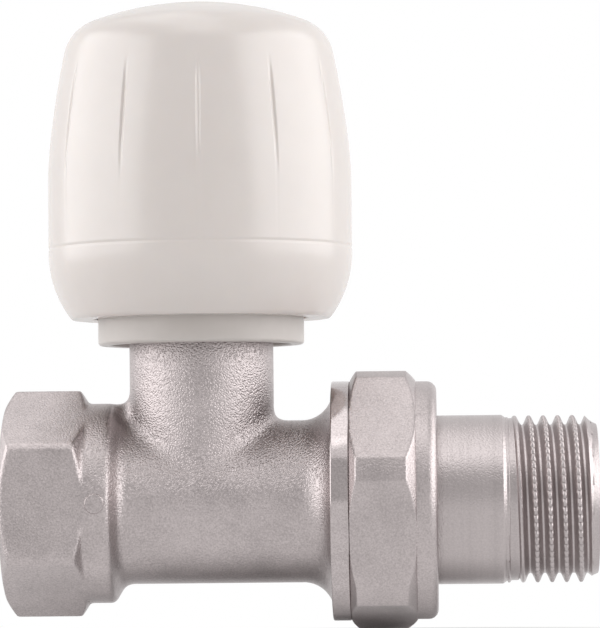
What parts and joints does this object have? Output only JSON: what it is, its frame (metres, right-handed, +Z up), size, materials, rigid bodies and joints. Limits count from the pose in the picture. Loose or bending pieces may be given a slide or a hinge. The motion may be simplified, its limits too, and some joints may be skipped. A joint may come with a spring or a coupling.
{
  "type": "manual radiator valve",
  "caption": "Straight radiator valve: nickel-plated body with hexagon socket inlet, white plastic handwheel on a rising stem, and a union nut with a threaded tail.",
  "frame": {"origin": "on the axis of the inlet socket, where its thread begins", "axes": "+X along the pipe from the inlet to the tail, +Z up the stem to the handwheel"},
  "size_m": [0.0742, 0.0384, 0.0793],
  "materials": {
    "nickel_forging": "blasted forging with satin nickel plate",
    "nickel_turned": "turned and satin nickel plated",
    "yellow_brass": "turned",
    "white_plastic": "moulded, glossy, warm white",
    "collar_plastic": "moulded, half matt, warm white",
    "black_rubber": "smooth",
    "backing_plastic": "smooth",
    "zinc_steel": "zinc plated"
  },
  "bodies": {
    "valve": {"valve_body": "nickel_forging", "bonnet": "yellow_brass", "bonnet_o_ring": "black_rubber", "collar_ring": "collar_plastic", "gland_nut": "yellow_brass", "gland_o_ring": "black_rubber", "gland_backing_ring": "backing_plastic"},
    "disc": {"disc_holder": "yellow_brass", "seat_washer": "black_rubber", "washer_rivet": "yellow_brass"},
    "handwheel": {"stem": "yellow_brass", "stem_o_ring": "black_rubber", "stem_clip": "zinc_steel", "handwheel": "white_plastic", "handwheel_screw": "zinc_steel", "lock_washer": "zinc_steel", "handwheel_cap": "white_plastic"},
    "tailpiece": {"tailpiece": "nickel_turned", "tail_o_ring": "black_rubber"},
    "union_nut": {"union_nut": "nickel_forging"}
  },
  "joints": [
    {"name": "disc_lift", "type": "slide", "parent": "valve", "child": "disc", "axis": [0, 0, 1], "range_m": [-0.003, 0]},
    {"name": "handwheel_turn", "type": "hinge", "parent": "disc", "child": "handwheel", "pos_m": [0.0238, 0, 0.045], "axis": [0, 0, 1], "range_deg": [-720, 0]},
    {"name": "tailpiece_draw", "type": "slide", "parent": "valve", "child": "tailpiece", "axis": [1, 0, 0], "range_m": [0, 0.0082]},
    {"name": "union_nut_turn", "type": "hinge", "parent": "tailpiece", "child": "union_nut", "pos_m": [0.047, 0, 0], "axis": [1, 0, 0], "range_deg": [0, 1620]}
  ],
  "couplings": [
    {"joint": "disc_lift", "follows": "handwheel_turn", "m_per_rad": 0.00023873},
    {"joint": "tailpiece_draw", "follows": "union_nut_turn", "m_per_rad": 0.00028871}
  ]
}
